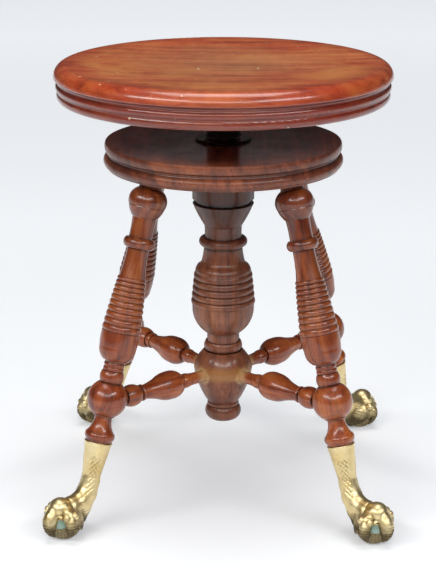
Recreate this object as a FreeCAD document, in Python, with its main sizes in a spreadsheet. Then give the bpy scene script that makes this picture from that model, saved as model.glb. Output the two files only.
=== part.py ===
import FreeCAD, Part
import math
import os
from types import SimpleNamespace

import Sketcher

# A revolving piano stool: a round seat on a coarse screw that turns in the head of a
# turned column, four splayed legs, four stretchers and four claw-and-ball feet.
# Origin on the floor under the column's axis, +Z up, millimetres and degrees.
# The front of the stool faces -Y and the legs stand on the diagonals.

Vector = FreeCAD.Vector
Rotation = FreeCAD.Rotation
Placement = FreeCAD.Placement

UP = Vector(0, 0, 1)
SIDEWAYS = Vector(0, 1, 0)
FORWARD = Vector(1, 0, 0)

SIZES = {
    # Seat board: overall size, rim mouldings from the top down, and the dish
    "seat_radius": 178,
    "seat_height": 470,
    "seat_thickness": 37,
    "seat_edge_round": 12.5,
    "seat_lip_height": 2,
    "seat_cove_height": 4.5,
    "seat_reed_height": 7.5,
    "seat_fillet_height": 1.6,
    "seat_dish_depth": 3,
    "seat_rim_inset": 4,
    # Apron disc, with its mouldings from the underside up
    "disc_radius": 126,
    "disc_height": 387,
    "disc_thickness": 26.5,
    "disc_fillet_height": 1.3,
    "disc_torus_height": 11.5,
    "disc_torus_proud": 3.6,
    "disc_cove_height": 4.6,
    "disc_edge_bead_height": 8.4,
    # Centre column, with its turnings down from the disc and up from its foot
    "column_foot_height": 72,
    "column_tenon_radius": 20,
    "column_block_radius": 33.3,
    "column_block_height": 36.5,
    "column_cup_groove": 5.5,
    "column_cup_height": 24.5,
    "column_neck_radius": 20,
    "column_neck_height": 13,
    "column_ring_radius": 26.2,
    "column_ring_height": 10,
    "column_taper_height": 27,
    "column_shoulder_radius": 30.4,
    "column_reed_count": 5,
    "column_reed_pitch": 7.3,
    "column_reed_depth": 1.3,
    "column_reed_top_radius": 32,
    "column_barrel_radius": 35,
    "column_waist_radius": 17.6,
    "column_waist_height": 10.5,
    "column_small_ring_radius": 21,
    "column_small_ring_height": 10.5,
    "column_urn_radius": 32.2,
    "column_urn_height": 40,
    "column_urn_shoulder": 20,
    "column_foot_radius": 20.8,
    "column_foot_ring_height": 16,
    "column_foot_fillet_height": 4.5,
    # Legs, with turnings down from the disc and both ways from the stretcher
    "leg_top_radius": 100,
    "leg_splay": 16.32,
    "leg_tenon_radius": 11,
    "leg_tenon_length": 20,
    "leg_head_radius": 19,
    "leg_head_height": 40.5,
    "leg_neck_radius": 12,
    "leg_neck_height": 21,
    "leg_ring_radius": 16.7,
    "leg_ring_height": 10.5,
    "leg_reed_count": 10,
    "leg_reed_pitch": 5.8,
    "leg_reed_growth": 0.3,
    "leg_reed_depth": 1.1,
    "leg_reed_top_radius": 15.2,
    "leg_barrel_radius": 20.6,
    "leg_barrel_height": 30.2,
    "leg_wrist_radius": 10.9,
    "leg_wrist_reed_pitch": 4.8,
    "leg_bead_height": 12,
    "leg_bead_radius": 12.7,
    "leg_ball_radius": 21,
    "leg_ball_above_stretcher": 4.1,
    "leg_ankle_radius": 9.2,
    "leg_bell_height": 24,
    "leg_bell_radius": 16.1,
    "leg_bell_lip_height": 8,
    "leg_below_stretcher": 41.9,
    "leg_foot_tenon_radius": 8,
    "leg_foot_tenon_length": 26,
    # Stretchers, turned from the leg's end towards the column
    "stretcher_height": 127,
    "stretcher_rise": 2.2,
    "stretcher_tenon_radius": 6.5,
    "stretcher_leg_stop": 6.5,
    "stretcher_column_stop": 15,
    "stretcher_shoulder": 15.6,
    "stretcher_cuff_radius": 11.8,
    "stretcher_cuff_length": 18.5,
    "stretcher_gap_length": 3,
    "stretcher_ring_length": 4,
    "stretcher_vase_radius": 15.4,
    "stretcher_vase_length": 53,
    "stretcher_bead_radius": 8,
    "stretcher_bead_length": 11.5,
    # Brass claw feet and their glass balls
    "foot_rim_radius": 14.4,
    "foot_ankle_radius": 8.6,
    "foot_ankle_height": 52,
    "foot_reach": 36,
    "foot_knuckle_radius": 11.6,
    "foot_palm_wall": 4,
    "foot_front_toe_radius": 7.4,
    "foot_side_toe_radius": 6.2,
    "foot_talon_radius": 1.7,
    "foot_side_toe_angle": 74,
    "foot_pin_radius": 1.3,
    "foot_pin_drop": 11,
    "glass_ball_radius": 16.5,
    "glass_flat_depth": 0.4,
    # Screw, nut, stop washer and seat plate
    "seat_travel": 96,
    "thread_pitch": 6,
    "thread_radius": 9.5,
    "thread_root_radius": 7.2,
    "thread_crest": 2.7,
    "thread_root_gap": 2.4,
    "spindle_head_radius": 9,
    "spindle_neck_radius": 6,
    "spindle_neck_length": 9,
    "nut_sleeve_radius": 13,
    "nut_sleeve_length": 32,
    "nut_flange_radius": 29.5,
    "nut_flange_thickness": 3,
    "nut_boss_radius": 17.5,
    "nut_boss_height": 12,
    "nut_screw_circle": 24.6,
    "washer_radius": 12.3,
    "washer_thickness": 3,
    "stop_pin_radius": 1.5,
    "stop_pin_length": 20,
    "hub_radius": 17.5,
    "plate_radius": 34,
    "plate_thickness": 5,
    "plate_arm_length": 72,
    "plate_arm_width": 20,
    "cross_pin_radius": 2.5,
    "cross_pin_rise": 12,
    "seat_screw_head_radius": 4.6,
    "nut_screw_head_radius": 3.6,
    "screw_head_height": 2.4,
    "screw_shank_radius": 2,
    "seat_screw_length": 22,
    "nut_screw_length": 20,
    # Fits
    "glue_fit": 0.05,
    "pin_fit": 0.05,
    "running_gap": 0.3,
}

CORNERS = {
    "rear_right": 45,
    "rear_left": 135,
    "front_left": 225,
    "front_right": 315,
}

QUARTERS = (0, 90, 180, 270)


class Size:
    """A number together with the formula that gives it from the sheet of sizes."""

    def __init__(self, value, text=None):
        self.value = float(value)
        self.text = repr(self.value) if text is None else text
        self.bound = text is not None

    def joined(self, other, value, sign):
        if not (self.bound or other.bound):
            return Size(value)
        return Size(value, f"({self.text} {sign} {other.text})")

    def __add__(self, other):
        other = as_size(other)
        return self.joined(other, self.value + other.value, "+")

    def __sub__(self, other):
        other = as_size(other)
        return self.joined(other, self.value - other.value, "-")

    def __mul__(self, other):
        other = as_size(other)
        return self.joined(other, self.value * other.value, "*")

    def __truediv__(self, other):
        other = as_size(other)
        return self.joined(other, self.value / other.value, "/")

    def __radd__(self, other):
        return as_size(other) + self

    def __rsub__(self, other):
        return as_size(other) - self

    def __rmul__(self, other):
        return as_size(other) * self

    def __neg__(self):
        return 0 - self


def as_size(number):
    return number if isinstance(number, Size) else Size(number)


def sine(angle):
    return Size(math.sin(math.radians(angle.value)), f"sin({angle.text})")


def cosine(angle):
    return Size(math.cos(math.radians(angle.value)), f"cos({angle.text})")


def tangent(angle):
    return Size(math.tan(math.radians(angle.value)), f"tan({angle.text})")


def whole_part(size):
    return Size(math.floor(size.value), f"floor({size.text})")


doc = FreeCAD.newDocument("piano_stool")
sheet = doc.addObject("Spreadsheet::Sheet", "Sizes")
for row, (alias, number) in enumerate(SIZES.items(), start=1):
    sheet.set(f"A{row}", str(number))
    sheet.setAlias(f"A{row}", alias)
doc.recompute()
S = SimpleNamespace(**{
    alias: Size(number, f"Sizes.{alias}") for alias, number in SIZES.items()
})


# Helpers that make bound objects

def bind(thing, path, size):
    """Gives a property its value, and its formula where it has one."""
    size = as_size(size)
    if size.bound:
        thing.setExpression(path, size.text)
    return size.value


def place(thing, x=0, z=0, tilt=0, y=0, axis=SIDEWAYS):
    """Places an object at (x, y, z), turned by tilt about the given axis."""
    x, y, z, tilt = (as_size(number) for number in (x, y, z, tilt))
    thing.Placement = Placement(
        Vector(x.value, y.value, z.value), Rotation(axis, tilt.value)
    )
    bind(thing, "Placement.Base.x", x)
    bind(thing, "Placement.Base.y", y)
    bind(thing, "Placement.Base.z", z)
    bind(thing, "Placement.Rotation.Angle", tilt)
    return thing


def named(kind, label, **sizes):
    """A document object of the given kind with its sizes bound to the sheet."""
    thing = doc.addObject(kind, label)
    thing.Label = label
    for path, size in sizes.items():
        setattr(thing, path, bind(thing, path, size))
    return thing


def rod(label, radius, length, x=0, z=0, tilt=0, y=0, axis=SIDEWAYS):
    """A cylinder from (x, y, z) along +Z turned by tilt."""
    cylinder = named("Part::Cylinder", label, Radius=radius, Height=length)
    return place(cylinder, x, z, tilt, y, axis)


def spun(label, source, azimuth):
    """The source turned about the stool's axis, as an object of its own."""
    copy = named("Part::Compound", label)
    copy.Links = [source]
    copy.Placement = Placement(Vector(), Rotation(UP, azimuth))
    return copy


def ring_of(label, source, azimuths=QUARTERS):
    """Copies of the source round the stool's axis, as one object."""
    group = named("Part::Compound", label)
    group.Links = [spun(f"{label}_{azimuth}", source, azimuth) for azimuth in azimuths]
    return group


def group_of(label, *things):
    group = named("Part::Compound", label)
    group.Links = list(things)
    return group


def fused(label, *things):
    fusion = named("Part::MultiFuse", label)
    fusion.Shapes = list(things)
    return fusion


def cut(label, base, *tools):
    """The base with the tools taken away."""
    result = named("Part::Cut", label)
    result.Base = base
    result.Tool = tools[0] if len(tools) == 1 else group_of(f"{label}_cutters", *tools)
    return result


def origin_plane(body, role):
    return next(plane for plane in body.Origin.OriginFeatures if plane.Role == role)


def edge_between(start, end, bulge):
    """The edge from start to end and which of its ends each is.

    A positive bulge is a bead to the right of the direction of travel, a negative one
    a cove, and the bulge is the height of the arc over its chord.
    """
    (x0, z0), (x1, z1) = start, end
    if bulge == 0:
        return Part.LineSegment(Vector(x0, z0, 0), Vector(x1, z1, 0)), 1, 2
    chord = math.hypot(x1 - x0, z1 - z0)
    radius = (chord**2 / 4 + bulge**2) / (2 * abs(bulge))
    offset = bulge - math.copysign(radius, bulge)
    centre_x = (x0 + x1) / 2 + offset * (z1 - z0) / chord
    centre_z = (z0 + z1) / 2 - offset * (x1 - x0) / chord
    first, last = (start, end) if bulge > 0 else (end, start)
    from_angle = math.atan2(first[1] - centre_z, first[0] - centre_x)
    to_angle = math.atan2(last[1] - centre_z, last[0] - centre_x)
    if to_angle <= from_angle:
        to_angle += 2 * math.pi
    circle = Part.Circle(Vector(centre_x, centre_z, 0), Vector(0, 0, 1), radius)
    arc = Part.ArcOfCircle(circle, from_angle, to_angle)
    return (arc, 1, 2) if bulge > 0 else (arc, 2, 1)


def arc_radius(start, end, bulge):
    """The arc's radius as a formula of its end points and its bulge."""
    across = end[0] - start[0]
    along = end[1] - start[1]
    chord_squared = across * across + along * along
    depth = bulge if bulge.value > 0 else -bulge
    return (chord_squared / 4 + depth * depth) / (2 * depth)


def outline_sketch(body, label, points):
    """A closed sketch on the body's XZ plane through (radius, height[, bulge]) points.

    Every corner is held by its distances from the body's axis and base, and every arc
    by its radius, each bound to the sheet.
    """
    sketch = body.newObject("Sketcher::SketchObject", label)
    sketch.AttachmentSupport = [(origin_plane(body, "XZ_Plane"), "")]
    sketch.MapMode = "FlatFace"
    corners = [(as_size(point[0]), as_size(point[1])) for point in points]
    bulges = [as_size(point[2] if len(point) > 2 else 0) for point in points]
    following = corners[1:] + corners[:1]
    edges = [
        edge_between((a[0].value, a[1].value), (b[0].value, b[1].value), bulge.value)
        for a, b, bulge in zip(corners, following, bulges)
    ]
    sketch.addGeometry([edge[0] for edge in edges], False)
    constraints = []
    formulas = []

    def hold(kind, *numbers, size=None):
        if size is not None:
            numbers = numbers + (size.value,)
            if size.bound:
                formulas.append((len(constraints), size.text))
        constraints.append(Sketcher.Constraint(kind, *numbers))

    for index, (corner, bulge) in enumerate(zip(corners, bulges)):
        after = (index + 1) % len(corners)
        hold("Coincident", index, edges[index][2], after, edges[after][1])
        if abs(corner[0].value) < 1e-9:
            hold("PointOnObject", index, edges[index][1], -2)
        else:
            hold("DistanceX", -1, 1, index, edges[index][1], size=corner[0])
        if abs(corner[1].value) < 1e-9:
            hold("PointOnObject", index, edges[index][1], -1)
        else:
            hold("DistanceY", -1, 1, index, edges[index][1], size=corner[1])
        if bulge.value != 0:
            hold("Radius", index, size=arc_radius(corner, corners[after], bulge))
    sketch.addConstraint(constraints)
    for number, text in formulas:
        sketch.setExpression(f"Constraints[{number}]", text)
    return sketch


def turned(label, points):
    """A body turned about its own Z axis from an outline that runs up its outside."""
    body = doc.addObject("PartDesign::Body", label)
    body.Label = label
    sketch = outline_sketch(body, f"{label}_outline", points)
    turning = body.newObject("PartDesign::Revolution", f"{label}_turning")
    turning.Profile = sketch
    turning.ReferenceAxis = (sketch, ["V_Axis"])
    turning.Angle = 360
    body.Tip = turning
    return body


def threaded(body, groove_points, height, drop=0):
    """Cuts a right-hand helical groove into a body, from its section dropped by drop."""
    doc.recompute()
    sketch = outline_sketch(body, f"{body.Label}_groove", groove_points)
    sketch.AttachmentOffset = Placement(Vector(0, -as_size(drop).value, 0), Rotation())
    bind(sketch, "AttachmentOffset.Base.y", -as_size(drop))
    helix = body.newObject("PartDesign::SubtractiveHelix", f"{body.Label}_thread")
    helix.Profile = sketch
    helix.ReferenceAxis = (sketch, ["V_Axis"])
    helix.Mode = 0
    helix.Pitch = bind(helix, "Pitch", S.thread_pitch)
    helix.Height = bind(helix, "Height", height)
    helix.LeftHanded = False
    helix.Reversed = False
    body.Tip = helix
    return body


def reeds(start, count, pitch, depth, first_radius, last_radius, growth=0):
    """Points for a run of beads whose crests go from one radius to another.

    The pitch is the run's mean, and each bead is longer than the one before by growth.
    """
    points = []
    foot = start
    for number in range(count):
        share = number / max(count - 1, 1)
        crest = first_radius + share * (last_radius - first_radius)
        length = pitch + growth * (number - (count - 1) / 2)
        points.append((crest - depth, foot, depth))
        points.append((crest - depth, foot + length * 0.93))
        foot = foot + length
    return points


def bead(radius, start, height, crest):
    """Points for one bead that stands from a radius out to its crest."""
    return [(radius, start, crest - radius), (radius, start + height)]


# Levels that the pieces share

seat_underside = S.seat_height - S.seat_thickness
disc_underside = S.disc_height - S.disc_thickness
nut_top = S.disc_height + S.nut_boss_height
nut_bottom = S.disc_height - S.nut_sleeve_length
hub_bottom = nut_top + S.running_gap
spindle_shoulder = nut_bottom - S.seat_travel
spindle_bottom = spindle_shoulder - S.spindle_neck_length
bore_bottom = spindle_bottom - 4

# Where each leg's axis crosses its stretcher's, and the leg's length from the disc

splay_tangent = tangent(S.leg_splay)
rise_tangent = tangent(S.stretcher_rise)
crossing_radius = (
    S.leg_top_radius + splay_tangent * (disc_underside - S.stretcher_height)
) / (1 + splay_tangent * rise_tangent)
crossing_height = S.stretcher_height + rise_tangent * crossing_radius
crossing_along = (disc_underside - crossing_height) / cosine(S.leg_splay)
leg_length = crossing_along + S.leg_below_stretcher
rim_radius = S.leg_top_radius + leg_length * sine(S.leg_splay)
rim_height = disc_underside - leg_length * cosine(S.leg_splay)
leg_tilt = 180 - S.leg_splay


def make_seat_board():
    underside_width = S.seat_radius - S.seat_rim_inset - 2.5
    lip = S.seat_thickness - S.seat_edge_round
    cove = lip - S.seat_lip_height
    reed_top = cove - S.seat_cove_height
    reed_foot = reed_top - S.seat_reed_height
    lower_reed = reed_foot - S.seat_fillet_height
    fillet = S.seat_radius - S.seat_rim_inset
    board = turned("seat_board_blank", [
        (0, 0),
        (underside_width, 0, lower_reed * 0.25),
        (fillet, lower_reed),
        (fillet, reed_foot, S.seat_reed_height * 0.27),
        (fillet, reed_top, S.seat_cove_height * -0.3),
        (S.seat_radius - 1.6, cove, 0.4),
        (S.seat_radius, lip, S.seat_edge_round * 0.29),
        (S.seat_radius - S.seat_edge_round, S.seat_thickness, S.seat_dish_depth * -0.25),
        (0, S.seat_thickness - S.seat_dish_depth),
    ])
    place(board, z=seat_underside)
    hole_depth = S.seat_screw_length - S.screw_head_height - S.plate_thickness + 0.5
    pilot = rod("seat_board_pilot", S.screw_shank_radius + S.pin_fit, hole_depth,
                x=S.plate_arm_length, z=seat_underside)
    return cut("seat_board", board, ring_of("seat_board_pilots", pilot))


def make_seat_plate():
    height = seat_underside - hub_bottom
    bore = S.spindle_head_radius + S.pin_fit
    web = height - S.plate_thickness
    hub = turned("seat_plate_hub", [
        (bore, 0),
        (S.hub_radius - 1, 0),
        (S.hub_radius, 1),
        (S.hub_radius, web - 9, -2.6),
        (S.hub_radius + 9, web),
        (S.plate_radius, web),
        (S.plate_radius, height),
        (bore, height),
    ])
    place(hub, z=hub_bottom)
    arm_start = S.hub_radius + 3
    arm = named("Part::Box", "seat_plate_arm_bar", Length=S.plate_arm_length - arm_start,
                Width=S.plate_arm_width, Height=S.plate_thickness)
    arm_base = seat_underside - S.plate_thickness
    place(arm, x=arm_start, y=S.plate_arm_width * -0.5, z=arm_base)
    end = rod("seat_plate_arm_end", S.plate_arm_width * 0.5, S.plate_thickness,
              x=S.plate_arm_length, z=arm_base)
    arms = ring_of("seat_plate_arms", fused("seat_plate_arm", arm, end))
    hole = rod("seat_plate_hole", S.screw_shank_radius + S.pin_fit,
               S.plate_thickness + 2, x=S.plate_arm_length, z=arm_base - 1)
    holes = ring_of("seat_plate_holes", hole)
    casting = fused("seat_plate_casting", hub, arms)
    return cut("seat_plate", casting, holes, cross_pin_rod("seat_plate_pin_hole", S.pin_fit))


def cross_pin_rod(label, clearance=0):
    """The pin that holds the spindle in the hub, across the hub along Y."""
    level = hub_bottom + S.cross_pin_rise
    length = 2 * S.hub_radius
    overrun = 2 if clearance else 0
    return rod(label, S.cross_pin_radius + clearance, length + 2 * overrun,
               y=length * -0.5 - overrun, z=level, tilt=-90, axis=FORWARD)


def stop_pin_rod(label, clearance=0):
    """The pin through the spindle's lower end, under the stop washer."""
    level = (spindle_shoulder - 2 * S.running_gap - S.washer_thickness
             - S.stop_pin_radius)
    return rod(label, S.stop_pin_radius + clearance, S.stop_pin_length,
               x=S.stop_pin_length * -0.5, z=level, tilt=90)


def groove_section(centre, outer, outer_width, inner, inner_width):
    """A four-sided groove section, wider at its outer radius."""
    return [
        (inner, centre - inner_width / 2),
        (outer, centre - outer_width / 2),
        (outer, centre + outer_width / 2),
        (inner, centre + inner_width / 2),
    ]


def make_spindle():
    """The screw: plain head in the hub, coarse thread, and a neck for the washer."""
    neck = S.spindle_neck_length
    head_start = hub_bottom - spindle_bottom
    length = seat_underside - spindle_bottom
    blank = turned("seat_spindle_blank", [
        (0, 0),
        (S.spindle_neck_radius - 1, 0),
        (S.spindle_neck_radius, 1),
        (S.spindle_neck_radius, neck),
        (S.thread_radius - 1, neck),
        (S.thread_radius, neck + 1),
        (S.thread_radius, head_start - 1),
        (S.spindle_head_radius, head_start),
        (S.spindle_head_radius, length),
        (0, length),
    ])
    place(blank, z=spindle_bottom)
    outer = S.thread_radius + 0.4
    slope = (S.thread_pitch - S.thread_crest - S.thread_root_gap) \
        / (S.thread_radius - S.thread_root_radius)
    outer_width = S.thread_root_gap + slope * (outer - S.thread_root_radius)
    run = head_start - neck - S.thread_pitch * 0.25
    section = groove_section(neck, outer, outer_width, S.thread_root_radius, S.thread_root_gap)
    threaded(blank, section, run)
    return cut("seat_spindle", blank, stop_pin_rod("seat_spindle_stop_hole", S.pin_fit),
               cross_pin_rod("seat_spindle_pin_hole", S.pin_fit))


def make_nut():
    """The threaded casting that the seat's screw turns in."""
    bore = S.thread_root_radius + S.running_gap
    flange_top = S.nut_sleeve_length + S.nut_flange_thickness
    top = S.nut_sleeve_length + S.nut_boss_height
    blank = turned("spindle_nut_blank", [
        (bore, 0),
        (S.nut_sleeve_radius, 0),
        (S.nut_sleeve_radius, S.nut_sleeve_length),
        (S.nut_flange_radius, S.nut_sleeve_length),
        (S.nut_flange_radius, flange_top - 0.8),
        (S.nut_flange_radius - 0.8, flange_top),
        (S.nut_boss_radius + 2.5, flange_top, -0.7),
        (S.nut_boss_radius, flange_top + 2.5),
        (S.nut_boss_radius, top - 0.8),
        (S.nut_boss_radius - 0.8, top),
        (bore, top),
    ])
    place(blank, z=nut_bottom)
    inner = bore - 0.4
    outer = S.thread_radius + S.running_gap
    slope = (S.thread_pitch - S.thread_crest - S.thread_root_gap) \
        / (S.thread_radius - S.thread_root_radius)
    outer_width = S.thread_crest + 2 * S.running_gap
    inner_width = outer_width + slope * (outer - inner)
    first_turn = whole_part((nut_bottom - spindle_shoulder) / S.thread_pitch) - 1.5
    centre = spindle_shoulder + first_turn * S.thread_pitch - nut_bottom
    run = top + 2 * S.thread_pitch - centre
    below = S.thread_pitch * 3
    section = groove_section(centre + below, outer, outer_width, inner, inner_width)
    threaded(blank, section, run, below)
    hole = rod("spindle_nut_hole", S.screw_shank_radius + S.pin_fit,
               S.nut_flange_thickness + 2, x=S.nut_screw_circle, z=S.disc_height - 1)
    holes = ring_of("spindle_nut_holes", hole, CORNERS.values())
    return cut("spindle_nut", blank, holes)


def make_stop_washer():
    """A loose ring on the spindle's neck that meets the nut at full height."""
    bore = S.spindle_neck_radius + S.running_gap
    washer = turned("stop_washer", [
        (bore, 0),
        (S.washer_radius - 0.5, 0),
        (S.washer_radius, 0.5),
        (S.washer_radius, S.washer_thickness - 0.5),
        (S.washer_radius - 0.5, S.washer_thickness),
        (bore, S.washer_thickness),
    ])
    return place(washer, z=spindle_shoulder - S.running_gap - S.washer_thickness)


def make_screw(label, head_radius, length, **where):
    """A slotted round-head wood screw with its head at the start of its axis."""
    blank = turned(f"{label}_blank", [
        (0, 0, 0.45),
        (head_radius, S.screw_head_height - 0.6),
        (head_radius, S.screw_head_height),
        (S.screw_shank_radius, S.screw_head_height),
        (S.screw_shank_radius, length - 4),
        (0, length),
    ])
    slot = named("Part::Box", f"{label}_slot_bar", Length=2 * head_radius + 2,
                 Width=1.1, Height=1.2)
    place(slot, x=head_radius * -1 - 1, y=-0.55)
    return place(cut(f"{label}_single", blank, slot), **where)


def make_disc():
    """The apron disc, with mortises for the legs and holes for column and screws."""
    radius = S.disc_radius
    torus_top = S.disc_fillet_height + S.disc_torus_height
    cove_top = torus_top + S.disc_cove_height
    bead_top = cove_top + S.disc_edge_bead_height
    blank = turned("apron_disc_blank", [
        (0, 0),
        (radius - 2.6, 0),
        (radius - 2.2, S.disc_fillet_height, S.disc_torus_proud),
        (radius - 2.4, torus_top),
        (radius - 3.2, torus_top, -1.3),
        (radius - 1.6, cove_top),
        (radius - 1.1, cove_top, 0.9),
        (radius - 0.7, bead_top),
        (radius - 1.2, S.disc_thickness),
        (0, S.disc_thickness),
    ])
    place(blank, z=disc_underside)
    hole = rod("apron_disc_hole", S.column_tenon_radius + S.glue_fit,
               S.disc_thickness + 2, z=disc_underside - 1)
    mortise = rod(
        "apron_disc_mortise", S.leg_tenon_radius + S.glue_fit, S.leg_tenon_length + 20.5,
        x=S.leg_top_radius + 20 * sine(S.leg_splay),
        z=disc_underside - 20 * cosine(S.leg_splay), tilt=-S.leg_splay,
    )
    mortises = ring_of("apron_disc_mortises", mortise, CORNERS.values())
    pilot = rod(
        "apron_disc_pilot", S.screw_shank_radius + S.pin_fit,
        S.nut_screw_length - S.nut_flange_thickness - S.screw_head_height + 1.5,
        x=S.nut_screw_circle, z=S.disc_height + 1, tilt=180,
    )
    pilots = ring_of("apron_disc_pilots", pilot, CORNERS.values())
    return cut("apron_disc", blank, hole, mortises, pilots)


def column_heights():
    """The column's levels above its foot, by name, from the foot up and the disc down."""
    level = SimpleNamespace()
    level.foot_ring = S.column_foot_ring_height
    level.urn = level.foot_ring + S.column_foot_fillet_height
    level.urn_widest = level.urn + S.column_urn_height
    level.small_ring = level.urn_widest + S.column_urn_shoulder
    level.waist = level.small_ring + S.column_small_ring_height
    level.barrel = level.waist + S.column_waist_height
    level.disc = disc_underside - S.column_foot_height
    level.top = S.disc_height - S.column_foot_height
    level.block = level.disc - S.column_block_height
    level.cup = level.block - S.column_cup_groove
    level.neck = level.cup - S.column_cup_height
    level.ring = level.neck - S.column_neck_height
    level.ring_foot = level.ring - S.column_ring_height
    level.taper = level.ring_foot - 2
    level.reeds = level.taper - S.column_taper_height
    level.reed_foot = level.reeds - SIZES["column_reed_count"] * S.column_reed_pitch
    return level


def make_column():
    level = column_heights()
    ring_base = S.column_ring_radius - 4.6
    small_base = S.column_small_ring_radius - 1.9
    groove_radius = S.column_block_radius - 3.6
    bore_foot = bore_bottom - S.column_foot_height
    bore = S.nut_sleeve_radius + S.glue_fit
    points = [
        (0, 0),
        (S.column_foot_radius - 7, 0, 4.2),
        (S.column_foot_radius - 3.4, level.foot_ring),
        (S.column_foot_radius - 3.9, level.foot_ring, 0.6),
        (S.column_foot_radius - 3.9, level.urn),
        (S.column_foot_radius - 4.2, level.urn, 2.6),
        (S.column_urn_radius, level.urn_widest, 1.9),
        (small_base + 2.2, level.small_ring),
    ]
    points += bead(small_base, level.small_ring, S.column_small_ring_height,
                   S.column_small_ring_radius)
    points += [
        (S.column_waist_radius, level.waist),
        (S.column_waist_radius, level.barrel),
        (S.column_waist_radius + 2.6, level.barrel + 0.6, 3.6),
        (S.column_barrel_radius - 1.2, level.reed_foot - 4),
        (S.column_barrel_radius - 1.2, level.reed_foot - 0.4),
    ]
    points += reeds(level.reed_foot, SIZES["column_reed_count"], S.column_reed_pitch,
                    S.column_reed_depth, S.column_barrel_radius, S.column_reed_top_radius)
    points += [
        (S.column_shoulder_radius, level.reeds, 0.9),
        (S.column_shoulder_radius - 3, level.reeds + 7.6, -0.9),
        (S.column_neck_radius + 3, level.reeds + 14, -0.3),
        (S.column_neck_radius + 1, level.taper),
        (S.column_neck_radius + 0.3, level.taper),
        (S.column_neck_radius + 0.3, level.ring_foot),
    ]
    points += bead(ring_base, level.ring_foot, S.column_ring_height, S.column_ring_radius)
    points += [
        (S.column_neck_radius, level.ring, -0.3),
        (S.column_neck_radius + 0.4, level.neck, 0.7),
        (S.column_block_radius - 0.4, level.cup),
        (S.column_block_radius - 1.6, level.cup + 1.2),
        (groove_radius, level.cup + 1.2),
        (groove_radius, level.block),
        (S.column_block_radius, level.block),
        (S.column_block_radius, level.disc),
        (S.column_tenon_radius, level.disc),
        (S.column_tenon_radius, level.top),
        (bore, level.top),
        (bore, bore_foot),
        (0, bore_foot),
    ]
    blank = turned("centre_column_blank", points)
    place(blank, z=S.column_foot_height)
    start = S.stretcher_column_stop - 0.3
    mortise = rod(
        "centre_column_mortise", S.stretcher_tenon_radius + S.glue_fit, 30,
        x=start * cosine(S.stretcher_rise),
        z=S.stretcher_height + start * sine(S.stretcher_rise),
        tilt=90 - S.stretcher_rise,
    )
    mortises = ring_of("centre_column_mortises", mortise, CORNERS.values())
    return cut("centre_column", blank, mortises)


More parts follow.
